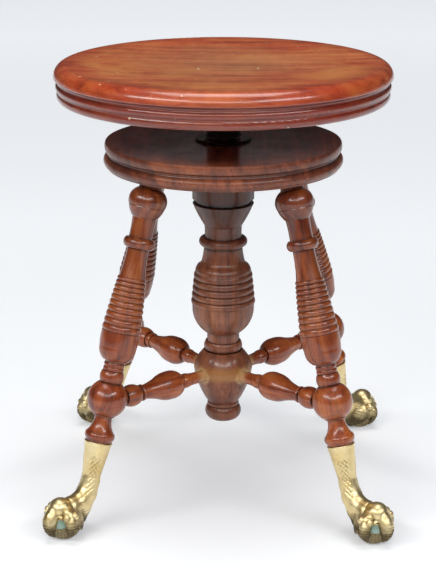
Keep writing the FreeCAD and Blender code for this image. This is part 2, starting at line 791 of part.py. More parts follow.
def make_leg():
    """One leg along its own axis, from the upper tenon's end down to the foot tenon."""
    disc = S.leg_tenon_length
    neck = disc + S.leg_head_height
    ring = neck + S.leg_neck_height
    ring_end = ring + S.leg_ring_height
    cross = disc + crossing_along
    ball_middle = cross - S.leg_ball_above_stretcher
    ball_half = S.leg_ball_radius * 0.785
    ball_base = S.leg_ball_radius * 0.62
    ball_start = ball_middle - ball_half
    ball_end = ball_middle + ball_half
    bead_start = ball_start - 1 - S.leg_bead_height
    wrist = bead_start - 2 * S.leg_wrist_reed_pitch
    barrel_end = wrist - 2
    barrel = barrel_end - S.leg_barrel_height
    reed_start = barrel - SIZES["leg_reed_count"] * S.leg_reed_pitch
    shoulder = disc + leg_length
    bell = shoulder - S.leg_bell_height
    lip = shoulder - 2.4 - S.leg_bell_lip_height
    socket_end = shoulder + S.leg_foot_tenon_length
    ring_base = S.leg_ring_radius - 2.6
    points = [
        (0, 0),
        (S.leg_tenon_radius - 1, 0),
        (S.leg_tenon_radius, 1),
        (S.leg_tenon_radius, disc + 3.5),
        (S.leg_tenon_radius + 1.2, disc + 9.5, 3.9),
        (S.leg_head_radius, disc + S.leg_head_height * 0.7),
        (S.leg_head_radius - 0.5, disc + S.leg_head_height * 0.7),
        (S.leg_head_radius - 0.3, disc + S.leg_head_height * 0.72, 0.8),
        (S.leg_neck_radius + 0.6, neck, -0.4),
        (S.leg_neck_radius + 0.2, ring),
    ]
    points += bead(ring_base, ring, S.leg_ring_height, S.leg_ring_radius)
    points += [
        (S.leg_neck_radius - 0.6, ring_end, -0.7),
        (S.leg_reed_top_radius - S.leg_reed_depth - 0.4, reed_start),
    ]
    points += reeds(reed_start, SIZES["leg_reed_count"], S.leg_reed_pitch,
                    S.leg_reed_depth, S.leg_reed_top_radius, S.leg_barrel_radius,
                    S.leg_reed_growth)
    points += [
        (S.leg_barrel_radius - 0.5, barrel, 0.5),
        (S.leg_barrel_radius - 1.2, barrel + S.leg_barrel_height * 0.55, 1.7),
        (S.leg_wrist_radius + 2.4, barrel_end),
        (S.leg_wrist_radius - 0.2, barrel_end),
    ]
    points += reeds(wrist, 2, S.leg_wrist_reed_pitch, 0.8,
                    S.leg_wrist_radius, S.leg_wrist_radius)
    points += bead(S.leg_wrist_radius + 0.2, bead_start, S.leg_bead_height,
                   S.leg_bead_radius)
    points += [
        (S.leg_wrist_radius, ball_start - 1),
        (S.leg_wrist_radius, ball_start),
    ]
    points += bead(ball_base, ball_start, 2 * ball_half, S.leg_ball_radius)
    points += [
        (S.leg_ankle_radius + 1.8, ball_end, 0.5),
        (S.leg_ankle_radius + 1.6, ball_end + 2.2),
        (S.leg_ankle_radius, ball_end + 2.2),
        (S.leg_ankle_radius, bell, -1.1),
        (S.leg_bell_radius - 1.9, lip),
        (S.leg_bell_radius - 1.6, lip, 1.6),
        (S.leg_bell_radius - 1.9, shoulder - 2.4),
        (S.leg_bell_radius - 2.8, shoulder),
        (S.leg_foot_tenon_radius, shoulder),
        (S.leg_foot_tenon_radius, socket_end - 1),
        (S.leg_foot_tenon_radius - 1, socket_end),
        (0, socket_end),
    ]
    blank = turned("leg_blank", points)
    place(blank, x=S.leg_top_radius - disc * sine(S.leg_splay),
          z=disc_underside + disc * cosine(S.leg_splay), tilt=leg_tilt)
    mortise = stretcher_rod("leg_mortise", S.stretcher_tenon_radius + S.glue_fit,
                            S.stretcher_leg_stop - 0.3, 30)
    return cut("leg_pattern", blank, mortise, foot_pin_rod("leg_pin_hole", S.pin_fit))


def stretcher_rod(label, radius, start, length):
    """A rod on the stretcher's axis, from near the leg's axis towards the column."""
    return rod(
        label, radius, length,
        x=crossing_radius - start * cosine(S.stretcher_rise),
        z=crossing_height - start * sine(S.stretcher_rise),
        tilt=-90 - S.stretcher_rise,
    )


def foot_pin_rod(label, clearance=0):
    """The brass pin through a socket's inner wall into the leg's lower tenon."""
    drop = S.foot_pin_drop
    depth = S.foot_rim_radius - 1.6
    return rod(
        label, S.foot_pin_radius + clearance, 10,
        x=rim_radius + drop * sine(S.leg_splay) - depth * cosine(S.leg_splay),
        z=rim_height - drop * cosine(S.leg_splay) - depth * sine(S.leg_splay),
        tilt=90 - S.leg_splay,
    )


def make_stretcher():
    """One stretcher along its own axis, from the leg's end to the column's end."""
    cuff = S.stretcher_shoulder + 2
    cuff_end = cuff + S.stretcher_cuff_length
    ring = cuff_end + S.stretcher_gap_length
    vase = ring + S.stretcher_ring_length + 0.6
    vase_widest = vase + S.stretcher_vase_length * 0.67
    vase_end = vase + S.stretcher_vase_length
    bead_start = vase_end + 0.8
    bead_end = bead_start + S.stretcher_bead_length
    total = (crossing_radius / cosine(S.stretcher_rise)
             - S.stretcher_leg_stop - S.stretcher_column_stop)
    tenon = S.stretcher_tenon_radius
    neck = tenon + 0.5
    points = [
        (0, 0),
        (tenon - 0.8, 0),
        (tenon, 0.8),
        (tenon, S.stretcher_shoulder),
        (neck, S.stretcher_shoulder),
        (neck, cuff),
    ]
    points += bead(S.stretcher_cuff_radius - 2.6, cuff, S.stretcher_cuff_length,
                   S.stretcher_cuff_radius)
    points += [(neck + 0.6, cuff_end), (neck, ring)]
    points += bead(neck + 0.9, ring, S.stretcher_ring_length, neck + 2)
    points += [
        (neck + 0.1, ring + S.stretcher_ring_length),
        (neck + 0.5, vase, -0.4),
        (S.stretcher_vase_radius - 3.6, vase + S.stretcher_vase_length * 0.36, 1.0),
        (S.stretcher_vase_radius, vase_widest, 2.4),
        (neck + 1.4, vase_end),
        (tenon + 0.1, vase_end),
    ]
    points += bead(tenon + 0.3, bead_start, S.stretcher_bead_length,
                   S.stretcher_bead_radius)
    points += [
        (tenon + 0.3, bead_end + 3),
        (tenon, bead_end + 3.4),
        (tenon, total - 0.8),
        (tenon - 0.8, total),
        (0, total),
    ]
    blank = turned("stretcher_pattern", points)
    return place(
        blank,
        x=crossing_radius - S.stretcher_leg_stop * cosine(S.stretcher_rise),
        z=crossing_height - S.stretcher_leg_stop * sine(S.stretcher_rise),
        tilt=-90 - S.stretcher_rise,
    )


# The foot's ankle point lies on the leg's axis, and the ball stands outside it

ankle_radius_out = S.leg_top_radius + splay_tangent * (disc_underside - S.foot_ankle_height)
ball_radius_out = ankle_radius_out + S.foot_reach
ball_centre_height = S.glass_ball_radius - S.glass_flat_depth


def ankle_sections(label, steps):
    """Round sections, each given by its place from the ankle's point and its tilt."""
    sections = []
    for number, (outward, upward, wider, tilt) in enumerate(steps):
        circle = named("Part::Circle", f"{label}_section_{number}",
                       Radius=S.foot_ankle_radius + wider)
        sections.append(place(circle, x=ankle_radius_out + outward,
                              z=S.foot_ankle_height + upward, tilt=tilt))
    return sections


def lofted(label, sections):
    loft = named("Part::Loft", label)
    loft.Sections = sections
    loft.Solid = True
    loft.Ruled = False
    return loft


def make_toe(label, azimuth, toe_radius, first_angle, knuckle_angle):
    """One toe that runs down round the glass ball, from the palm to its talon.

    Each step is the angle from straight up about the ball's centre, the section's
    radius there and how far its centre lies outside the ball.
    """
    steps = (
        (first_angle, toe_radius * 1.02, 2.6),
        (knuckle_angle - 16, toe_radius * 0.9, 2.6),
        (knuckle_angle, toe_radius, 3.1),
        (knuckle_angle + 18, toe_radius * 0.82, 2.6),
        (knuckle_angle + 36, toe_radius * 0.58, 1.8),
        (131, S.foot_talon_radius, 1.2),
    )
    sections = []
    for number, (angle, radius, outside) in enumerate(steps):
        reach = S.glass_ball_radius + outside
        turn = math.radians(angle)
        circle = named("Part::Circle", f"{label}_section_{number}", Radius=radius)
        sections.append(place(circle, x=reach * math.sin(turn), z=reach * math.cos(turn),
                              tilt=angle + 90))
    toe = lofted(f"{label}_loft", sections)
    seated = spun(f"{label}_turned", toe, azimuth)
    placed = group_of(label, seated)
    return place(placed, x=ball_radius_out, z=ball_centre_height)


def make_claw_foot():
    """One brass casting: socket and shank, bent ankle, palm, big knuckle and toes."""
    shank_length = (rim_height - S.foot_ankle_height) / cosine(S.leg_splay)
    bore = S.leg_foot_tenon_radius + S.glue_fit
    socket = S.leg_foot_tenon_length + 1
    shank = turned("claw_foot_shank", [
        (0, shank_length),
        (S.foot_ankle_radius, shank_length),
        (S.foot_rim_radius, 2),
        (S.foot_rim_radius - 0.6, 0),
        (bore, 0),
        (bore, socket),
        (0, socket),
    ])
    place(shank, x=rim_radius, z=rim_height, tilt=leg_tilt)
    instep = lofted("claw_foot_instep", ankle_sections("claw_foot_instep", (
        (0, 0, 0, leg_tilt),
        (5, -11, 1.2, 141),
        (14, -19, 2.8, 114),
        (27, -21, 3.4, 97),
        (38, -22.5, 2.6, 100),
    )))
    heel = lofted("claw_foot_heel", ankle_sections("claw_foot_heel", (
        (0, 0, 0, leg_tilt),
        (6, -14, 1.6, 157),
        (11.2, -26.5, 1.2, 158),
        (15.2, -37, -0.6, 152),
        (20.5, -45, -3.6, 136),
        (25.8, -48.7, -6.6, 120),
    )))
    knuckle = named("Part::Sphere", "claw_foot_knuckle", Radius=S.foot_knuckle_radius)
    place(knuckle, x=ball_radius_out + 4.5, z=ball_centre_height + S.glass_ball_radius + 1.2)
    palm = named("Part::Sphere", "claw_foot_palm",
                 Radius=S.glass_ball_radius + S.foot_palm_wall, Angle1=2)
    place(palm, x=ball_radius_out, z=ball_centre_height, tilt=-38)
    side = SIZES["foot_side_toe_angle"]
    toes = [
        make_toe("claw_foot_front_toe", 0, S.foot_front_toe_radius, 40, 68),
        make_toe("claw_foot_left_toe", side, S.foot_side_toe_radius, 26, 72),
        make_toe("claw_foot_right_toe", -side, S.foot_side_toe_radius, 26, 72),
    ]
    body = fused("claw_foot_body", shank, instep, heel, knuckle, palm, *toes)
    hollow = named("Part::Sphere", "claw_foot_hollow",
                   Radius=S.glass_ball_radius + S.glue_fit)
    place(hollow, x=ball_radius_out, z=ball_centre_height)
    return cut("claw_foot_pattern", body, hollow, foot_pin_rod("claw_foot_pin_hole", S.pin_fit))


def make_glass_ball():
    """A glass ball with the small flat that years on the floor have worn."""
    flat_angle = -math.degrees(
        math.asin(1 - SIZES["glass_flat_depth"] / SIZES["glass_ball_radius"])
    )
    ball = named("Part::Sphere", "glass_ball_pattern", Radius=S.glass_ball_radius)
    ball.Angle1 = flat_angle
    return place(ball, x=ball_radius_out, z=ball_centre_height)


def make_foot_pin():
    return foot_pin_rod("foot_pin_pattern")


NODES = [
    make_seat_board(),
    make_seat_plate(),
    make_spindle(),
    make_nut(),
    make_stop_washer(),
    cross_pin_rod("spindle_cross_pin"),
    stop_pin_rod("stop_pin"),
    make_disc(),
    make_column(),
]

seat_screw = make_screw(
    "seat_plate_screw", S.seat_screw_head_radius, S.seat_screw_length, x=S.plate_arm_length,
    z=seat_underside - S.plate_thickness - S.screw_head_height,
)
NODES.append(ring_of("seat_plate_screws", seat_screw))
nut_screw = make_screw(
    "nut_screw", S.nut_screw_head_radius, S.nut_screw_length, x=S.nut_screw_circle,
    z=S.disc_height + S.nut_flange_thickness + S.screw_head_height, tilt=180,
)
NODES.append(ring_of("nut_screws", nut_screw, CORNERS.values()))
NODES.append(ring_of("foot_pins", make_foot_pin(), CORNERS.values()))

PATTERNS = {
    "leg": make_leg(),
    "stretcher": make_stretcher(),
    "claw_foot": make_claw_foot(),
    "glass_ball": make_glass_ball(),
}
for piece, pattern in PATTERNS.items():
    for corner, azimuth in CORNERS.items():
        NODES.append(spun(f"{piece}_{corner}", pattern, azimuth))

doc.recompute()

for thing in doc.Objects:
    if "Invalid" in thing.State or "Error" in thing.State:
        raise RuntimeError(f"{thing.Label} failed: {thing.State}")

os.makedirs("parts", exist_ok=True)
for node in NODES:
    shape = node.Shape
    if shape.isNull() or not shape.isValid() or not shape.Solids:
        raise RuntimeError(f"{node.Label} has no valid solid")
    shape.exportStep(os.path.join("parts", f"{node.Label}.step"))
    print(node.Label, len(shape.Solids), round(shape.Volume / 1000, 2), "cm3")
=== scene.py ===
import math

import bmesh
import bpy
import numpy as np
from mathutils import Matrix, Vector


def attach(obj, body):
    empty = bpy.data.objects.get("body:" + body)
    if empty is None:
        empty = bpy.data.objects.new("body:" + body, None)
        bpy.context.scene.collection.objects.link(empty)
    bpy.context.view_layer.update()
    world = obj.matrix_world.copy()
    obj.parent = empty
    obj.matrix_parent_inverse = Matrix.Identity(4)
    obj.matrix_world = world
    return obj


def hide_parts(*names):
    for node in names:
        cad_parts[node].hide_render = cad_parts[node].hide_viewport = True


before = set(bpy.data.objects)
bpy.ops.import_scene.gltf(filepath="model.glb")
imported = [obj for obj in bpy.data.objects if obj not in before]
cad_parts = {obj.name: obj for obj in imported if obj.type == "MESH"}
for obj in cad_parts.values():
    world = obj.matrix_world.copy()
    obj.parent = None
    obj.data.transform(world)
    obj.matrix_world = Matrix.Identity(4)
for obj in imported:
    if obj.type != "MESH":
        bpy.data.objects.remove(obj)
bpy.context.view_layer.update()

# A revolving piano stool. Sizes in the foot's functions are millimetres, and the rest
# of the script is in metres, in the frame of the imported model: the floor is z = 0 and
# the front of the stool faces -Y.

MM = 0.001
CORNERS = {"rear_right": 45, "rear_left": 135, "front_left": 225, "front_right": 315}


# Node graphs for the materials

class Graph:
    """A new material's nodes, with short calls that return the socket they make."""

    def __init__(self, name):
        self.material = bpy.data.materials.new(name)
        self.material.use_nodes = True
        self.tree = self.material.node_tree
        self.shader = self.tree.nodes["Principled BSDF"]
        self.place = self.tree.nodes.new("ShaderNodeTexCoord").outputs["Object"]

    def node(self, kind, inputs=None, **settings):
        made = self.tree.nodes.new(kind)
        for key, value in settings.items():
            setattr(made, key, value)
        for key, value in (inputs or {}).items():
            self.put(made.inputs[key], value)
        return made

    def put(self, socket, value):
        if isinstance(value, bpy.types.NodeSocket):
            self.tree.links.new(value, socket)
        else:
            socket.default_value = value

    def turned(self, vector, rotation=(0, 0, 0), location=(0, 0, 0), scale=(1, 1, 1)):
        return self.node("ShaderNodeMapping", {
            "Vector": vector, "Rotation": rotation, "Location": location, "Scale": scale,
        }).outputs["Vector"]

    def noise(self, vector, scale, detail=3.0, rough=0.5, distortion=0.0):
        return self.node("ShaderNodeTexNoise", {
            "Vector": vector, "Scale": scale, "Detail": detail, "Roughness": rough,
            "Distortion": distortion,
        }).outputs["Fac"]

    def ramp(self, factor, *stops):
        made = self.node("ShaderNodeValToRGB", {"Fac": factor})
        elements = made.color_ramp.elements
        while len(elements) < len(stops):
            elements.new(0.5)
        for element, (position, colour) in zip(elements, stops):
            element.position = position
            element.color = (*colour, 1.0)
        return made.outputs["Color"]

    def level(self, factor, low, high, at_low=0.0, at_high=1.0):
        return self.node("ShaderNodeMapRange", {
            "Value": factor, "From Min": low, "From Max": high,
            "To Min": at_low, "To Max": at_high,
        }).outputs["Result"]

    def math(self, operation, a, b=0.0):
        made = self.node("ShaderNodeMath", operation=operation)
        self.put(made.inputs[0], a)
        self.put(made.inputs[1], b)
        return made.outputs[0]

    def mix(self, factor, a, b, blend="MIX"):
        made = self.node("ShaderNodeMix", data_type="RGBA", blend_type=blend)
        self.put(made.inputs["Factor"], factor)
        self.put(made.inputs[6], a if isinstance(a, bpy.types.NodeSocket) else (*a, 1.0))
        self.put(made.inputs[7], b if isinstance(b, bpy.types.NodeSocket) else (*b, 1.0))
        return made.outputs[2]

    def bump(self, height, distance, strength):
        return self.node("ShaderNodeBump", {
            "Height": height, "Distance": distance, "Strength": strength,
        }).outputs["Normal"]

    def closeness(self, distance):
        """Near 0 in grooves and corners and 1 where the surface is open."""
        return self.node("ShaderNodeAmbientOcclusion", {"Distance": distance},
                         samples=6).outputs["AO"]

    def finish(self, **inputs):
        for key, value in inputs.items():
            self.put(self.shader.inputs[key.replace("_", " ")], value)
        return self.material


def along(azimuth, tilt, point, shift):
    """Rotation and location that put a turned piece's axis on the texture's Z axis."""
    turn = Matrix.Rotation(math.radians(tilt), 3, "Y") \
        @ Matrix.Rotation(math.radians(-azimuth), 3, "Z")
    moved = turn @ Vector(point)
    return turn.to_euler("XYZ"), Vector(shift) - moved


# How fast the wood's patterns change, per metre
STAIN_SCALE = 9.0
WAVER_SCALE = 16.0
RUB_SCALE = 24.0
DULL_SCALE = 34.0
CURL_SCALE = 120.0
RING_SCALE = 150.0
STREAK_SCALE = 620.0
PORE_SCALE = 1500.0

# Shares of the growth rings and the fine streaks in the wood's shade
RING_SHARE = 0.70
STREAK_SHARE = 0.30

# How far the painted shade and dirt reach out of grooves and corners, in metres
WOOD_SHADE_AND_DIRT_REACH = 0.006
BRASS_SHADE_AND_DIRT_REACH = 0.007

BARE_WOOD = (0.62, 0.38, 0.17)


def wood(name, dark, middle, light, rotation=(0, 0, 0), location=(0, 0, 0),
         wear=(0.50, 0.17, 0.05), wear_amount=0.30, curl=0.10, pore=0.25, haze=0.30,
         coat=0.5, patches=None):
    """Varnished wood: long grain, pores, cloudy stain, painted shade and dirt in grooves, and
    rubbed patches.
    """
    graph = Graph(name)
    grain = graph.turned(graph.place, rotation, location)
    cloud = graph.noise(grain, STAIN_SCALE, 3.0, 0.55)
    waver = graph.noise(graph.turned(grain, scale=(1, 1, 0.28)), WAVER_SCALE, 2.0)
    bent = graph.node("ShaderNodeVectorMath", operation="MULTIPLY_ADD")
    graph.put(bent.inputs[0], waver)
    bent.inputs[1].default_value = (0.02, 0.02, 0.0)
    graph.put(bent.inputs[2], grain)
    rings = graph.noise(graph.turned(bent.outputs[0], scale=(1, 0.4, 0.045)), RING_SCALE,
                        4.0, 0.6)
    streaks = graph.noise(graph.turned(grain, scale=(1, 1, 0.03)), STREAK_SCALE, 3.0, 0.6)
    pores = graph.noise(graph.turned(grain, scale=(1, 1, 0.07)), PORE_SCALE, 2.0, 0.7)
    bands = graph.noise(graph.turned(grain, scale=(0.25, 0.25, 1)), CURL_SCALE, 2.0, 0.5)
    shade = graph.math("ADD", graph.math("MULTIPLY", rings, RING_SHARE - curl),
                       graph.math("MULTIPLY", streaks, STREAK_SHARE))
    shade = graph.math("ADD", shade, graph.math("MULTIPLY", bands, curl))
    colour = graph.ramp(shade, (0.36, dark), (0.51, middle), (0.66, light))
    stain = graph.level(cloud, 0.36, 0.62)
    deep = tuple(min(1.0, 2.2 * part) for part in dark)
    colour = graph.mix(graph.math("MULTIPLY", stain, 0.60), colour, deep, "MULTIPLY")
    rubbed = graph.level(graph.noise(grain, RUB_SCALE, 4.0, 0.6), 0.52, 0.68)
    colour = graph.mix(graph.math("MULTIPLY", rubbed, wear_amount), colour, wear)
    colour = graph.mix(graph.level(pores, 0.62, 0.74, 0.0, pore), colour,
                       tuple(0.35 * part for part in dark))
    # Painted shade and dirt: darker in grooves, corners and where parts meet
    nook_shade_and_dirt = graph.level(graph.closeness(WOOD_SHADE_AND_DIRT_REACH), 0.40, 0.90, 0.92, 0.0)
    colour = graph.mix(nook_shade_and_dirt, colour, tuple(0.16 * part for part in dark))
    if patches:
        colour = patches(graph, colour)
    dull = graph.noise(grain, DULL_SCALE, 4.0, 0.6)
    rough = graph.level(dull, 0.3, 0.75, haze - 0.06, haze + 0.14)
    height = graph.math("ADD", graph.math("MULTIPLY", streaks, 0.5),
                        graph.math("MULTIPLY", pores, -0.35))
    ripple = graph.math("ADD", height, graph.math("MULTIPLY", dull, 1.6))
    return graph.finish(Base_Color=colour, Roughness=rough,
                        Normal=graph.bump(ripple, 0.00022, 0.55),
                        Coat_Weight=coat, Coat_Roughness=0.12, IOR=1.45)


def reach(graph):
    """The place's X, Y and Z, and its distance from the stool's axis."""
    parts = graph.node("ShaderNodeSeparateXYZ", {"Vector": graph.place}).outputs
    flat = graph.node("ShaderNodeCombineXYZ", {"X": parts["X"], "Y": parts["Y"]})
    length = graph.node("ShaderNodeVectorMath", {"Vector": flat.outputs[0]},
                        operation="LENGTH").outputs["Value"]
    return parts, length


# Height of the top of the seat's rim, in metres
RIM_TOP = 0.4575

SEAT_ORANGE = (0.66, 0.235, 0.055)
SEAT_PAINTED_REFLECTION = (0.42, 0.22, 0.11)
SEAT_EDGE = (0.62, 0.34, 0.28)
SEAT_RIM = (0.46, 0.27, 0.27)
SEAT_SPECK = (0.80, 0.62, 0.40)


def seat_patches(graph, colour):
    """Orange rubbed patches, a duller middle that is a painted reflection, a redder edge, a dark
    rim and pale specks.
    """
    parts, radius = reach(graph)
    broad = graph.noise(graph.place, 13.0, 3.0, 0.55, 0.6)
    colour = graph.mix(graph.level(broad, 0.52, 0.66, 0.0, 0.75), colour,
                       SEAT_ORANGE)
    wavy_radius = graph.math("ADD", radius, graph.math("MULTIPLY", broad, 0.05))
    # Painted reflection: the middle is mixed towards a duller, greyer brown
    colour = graph.mix(graph.level(wavy_radius, 0.05, 0.15, 0.34, 0.0), colour,
                       SEAT_PAINTED_REFLECTION)
    colour = graph.mix(graph.level(wavy_radius, 0.168, 0.196, 0.0, 0.80), colour,
                       SEAT_EDGE, "MULTIPLY")
    colour = graph.mix(graph.level(parts["Z"], RIM_TOP - 0.0022, RIM_TOP + 0.0006, 0.85, 0.0),
                       colour, SEAT_RIM, "MULTIPLY")
    speck = graph.noise(graph.place, 260.0, 0.0)
    return graph.mix(graph.level(speck, 0.83, 0.85, 0.0, 0.7), colour, SEAT_SPECK)


# Painted shade multiplied into the upper legs and the upper column, under the seat
UPPER_LEG_SHADE = (0.50, 0.44, 0.42)
UPPER_COLUMN_SHADE = (0.48, 0.40, 0.36)
RUBBED_URN = (0.44, 0.20, 0.055)
URN_WIDEST = 0.1315
TENON_HEIGHT = 0.128

# The stretchers leave the column on its diagonals
DIAGONAL = 0.71


def leg_painted_shade(graph, colour):
    """Painted shade: darker towards the seat."""
    parts, _ = reach(graph)
    return graph.mix(graph.level(parts["Z"], 0.12, 0.31), colour, UPPER_LEG_SHADE,
                     "MULTIPLY")


def column_patches(graph, colour):
    """Painted shade towards the disc, and varnish worn through on the urn's widest part and round
    the stretchers' tenons.
    """
    parts, _ = reach(graph)
    # Painted shade: darker towards the disc
    colour = graph.mix(graph.level(parts["Z"], 0.15, 0.31), colour, UPPER_COLUMN_SHADE,
                       "MULTIPLY")
    ragged = graph.math("MULTIPLY", graph.noise(graph.place, 170.0, 3.0, 0.6), 0.006)
    off = graph.math("ABSOLUTE", graph.math("SUBTRACT", parts["Z"], URN_WIDEST))
    band = graph.level(graph.math("ADD", off, ragged), 0.0070, 0.0125, 0.75, 0.0)
    colour = graph.mix(band, colour, RUBBED_URN)
    across = graph.math("SUBTRACT", graph.math("ABSOLUTE", parts["X"]),
                        graph.math("ABSOLUTE", parts["Y"]))
    up = graph.math("SUBTRACT", parts["Z"], TENON_HEIGHT)
    apart = graph.node("ShaderNodeCombineXYZ", {
        "X": graph.math("MULTIPLY", across, DIAGONAL), "Y": up})
    apart = graph.node("ShaderNodeVectorMath", {"Vector": apart.outputs[0]},
                       operation="LENGTH").outputs["Value"]
    ring = graph.level(graph.math("ADD", apart, ragged), 0.0100, 0.0140, 0.85, 0.0)
    return graph.mix(ring, colour, BARE_WOOD)


def stretcher_patches(graph, colour):
    """The end at the column is bare wood."""
    _, radius = reach(graph)
    ragged = graph.math("MULTIPLY", graph.noise(graph.place, 150.0, 3.0, 0.6), 0.010)
    bare = graph.level(graph.math("ADD", radius, ragged), 0.042, 0.049, 0.80, 0.0)
    return graph.mix(bare, colour, BARE_WOOD)


BRASS_TONES = ((0.72, 0.54, 0.24), (0.86, 0.70, 0.38), (0.93, 0.80, 0.50))
BRASS_SPECK = (0.42, 0.27, 0.09)
# Colours for the patina in the hollows, the darkening towards the floor and the painted shade in
# nooks
GRIME_AND_SHADE_TONES = ((0.040, 0.030, 0.018), (0.120, 0.088, 0.044))


def brass():
    """Cast and polished brass, browned in its hollows, darker towards the floor, with painted
    shade in its nooks.
    """
    graph = Graph("brass")
    hollow = graph.node("ShaderNodeAttribute", attribute_name="hollow").outputs["Fac"]
    height = graph.node("ShaderNodeSeparateXYZ", {"Vector": graph.place}).outputs["Z"]
    cloud = graph.noise(graph.place, 60.0, 4.0, 0.6)
    fine = graph.noise(graph.place, 420.0, 3.0, 0.6)
    # Darker towards the floor, less so on the proud parts
    low = graph.level(graph.math("ADD", height, graph.math("MULTIPLY", cloud, 0.024)),
                      0.029, 0.041, 0.94, 0.0)
    low = graph.math("MULTIPLY", low, graph.level(hollow, 0.06, 0.34, 0.76, 1.0))
    grime_and_shade = graph.math("MAXIMUM", graph.level(hollow, 0.50, 0.95, 0.0, 0.85), low)
    # Painted shade in nooks and where the casting meets the ball, the leg and the floor
    nook_shade_and_dirt = graph.level(graph.closeness(BRASS_SHADE_AND_DIRT_REACH), 0.25, 0.80, 0.70, 0.0)
    grime_and_shade = graph.math("MAXIMUM", grime_and_shade, nook_shade_and_dirt)
    metal = graph.ramp(cloud, *zip((0.30, 0.55, 0.75), BRASS_TONES))
    speck = graph.level(fine, 0.60, 0.75, 0.0, 0.35)
    metal = graph.mix(speck, metal, BRASS_SPECK)
    grime_and_shade_colour = graph.mix(graph.level(fine, 0.40, 0.62), *GRIME_AND_SHADE_TONES)
    colour = graph.mix(grime_and_shade, metal, grime_and_shade_colour)
    rough = graph.math("ADD", graph.level(cloud, 0.3, 0.7, 0.34, 0.46),
                       graph.math("MULTIPLY", grime_and_shade, 0.26))
    grit = graph.math("ADD", fine, graph.math("MULTIPLY", cloud, 0.8))
    return graph.finish(Base_Color=colour, Roughness=rough, Metallic=1.0,
                        Normal=graph.bump(grit, 0.00018, 0.5))


def glass():
    """Pale green glass, clouded so that it isn't black in the closed claws."""
    graph = Graph("glass")
    cloud = graph.noise(graph.place, 90.0, 3.0)
    colour = graph.ramp(cloud, (0.35, (0.42, 0.66, 0.52)), (0.70, (0.66, 0.86, 0.74)))
    return graph.finish(Base_Color=colour, Roughness=0.06, IOR=1.5,
                        Transmission_Weight=0.45)


def iron():
    """Black japanned cast iron, brown where the finish has rubbed."""
    graph = Graph("iron")
    cloud = graph.noise(graph.place, 70.0, 4.0, 0.6)
    sand = graph.noise(graph.place, 900.0, 3.0, 0.6)
    rust = graph.level(cloud, 0.56, 0.72)
    colour = graph.mix(rust, (0.020, 0.016, 0.014), (0.090, 0.036, 0.018))
    return graph.finish(Base_Color=colour, Metallic=0.35,
                        Roughness=graph.level(sand, 0.3, 0.7, 0.34, 0.56),
                        Normal=graph.bump(sand, 0.0003, 0.5))


def steel(name, base, spots):
    """Oiled steel with turning marks and a few brown spots."""
    graph = Graph(name)
    marks = graph.noise(graph.turned(graph.place, scale=(1, 1, 12)), 260.0, 2.0)
    cloud = graph.noise(graph.place, 110.0, 4.0, 0.6)
    colour = graph.mix(graph.level(cloud, 0.52, 0.68), base, spots)
    return graph.finish(Base_Color=colour, Metallic=1.0,
                        Roughness=graph.level(cloud, 0.3, 0.7, 0.28, 0.5),
                        Normal=graph.bump(marks, 0.00008, 0.5))


# Meshes

def mesh_piece(name, points, faces, material, body, replaced):
    """A new smooth piece in place of a packed one, from points in metres."""
    mesh = bpy.data.meshes.new(name)
    mesh.from_pydata([tuple(point) for point in points], [], [tuple(face) for face in faces])
    mesh.validate()
    mesh.polygons.foreach_set("use_smooth", [True] * len(mesh.polygons))
    mesh.update()
    mesh.materials.append(material)
    piece = bpy.data.objects.new(name, mesh)
    bpy.context.scene.collection.objects.link(piece)
    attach(piece, body)
    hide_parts(*replaced)
    return piece


# The claw foot as a distance field, in the plane of its leg: u outwards, v sideways,
# z up, in millimetres

LEG_SPLAY = 16.32
SPLAY = math.radians(LEG_SPLAY)
ANKLE = np.array((190.33, 0.0, 52.0))
BALL = np.array((226.33, 0.0, 16.1))
BALL_RADIUS = 16.5
DOWN_LEG = np.array((math.sin(SPLAY), 0.0, -math.cos(SPLAY)))
OUT_LEG = np.array((math.cos(SPLAY), 0.0, math.sin(SPLAY)))
SHANK_LENGTH = 42.93
RIM = ANKLE - DOWN_LEG * SHANK_LENGTH
RIM_RADIUS = 14.4
ANKLE_RADIUS = 8.6
SOCKET_RADIUS = 8.05
SOCKET_DEPTH = 27.0
DOME = (230.9, 0.0, 33.6)
DOME_RADII = (12.2, 11.8, 10.9)
PALM_RADIUS = 20.3
PALM_TILT = math.radians(38)
HEEL_RIDGES = (208.0, 24.0)
BALL_GAP = 0.05
FLOOR_GAP = 0.85

# The casting is thin round the ball, with windows between these heights
CUP_RADIUS = 17.6
CUP_TOP = 16.6
WEB_RADIUS = 18.0
WEB_FOOT = 24.6

# Steps along the top and the heel from the ankle: outwards, up and radius
INSTEP = ((0, 0, 8.6), (5, -11, 9.6), (14, -19, 10.6), (27, -21.5, 10.6), (36, -23, 9.0))
HEEL = ((0, 0, 8.6), (6, -14, 9.3), (11.4, -26.5, 8.6), (16, -36.5, 6.8), (21.2, -44, 4.6),
        (26.5, -47.6, 2.6))

# Steps along a toe: angle down from straight above the ball, share of the toe's radius, and
# how far its middle is outside the ball
FRONT_TOE_RADIUS = 7.5
FRONT_TOE = ((42, 1.00, 2.4), (58, 0.98, 2.6), (70, 1.02, 2.4), (86, 0.90, 2.0),
             (98, 0.66, 2.4), (112, 0.46, 1.8), (131, 0.22, 1.2))
SIDE_TOE_AZIMUTH = 76
SIDE_TOE_RADIUS = 6.0
SIDE_TOE = ((30, 1.00, 2.2), (48, 0.94, 2.2), (58, 0.86, 2.0), (72, 1.00, 2.2),
            (88, 0.86, 2.0), (100, 0.62, 1.8), (114, 0.44, 1.4), (130, 0.26, 1.0))
RIDGE_ANGLE = 84.0
RIDGE_STEP = 7.5

# Beads beside the knuckle: azimuth, angle and radius
BEADS = ((66, 41, 4.6), (62, 56, 4.2), (92, 55, 4.4))
BEAD_OUTSIDE = 4.6


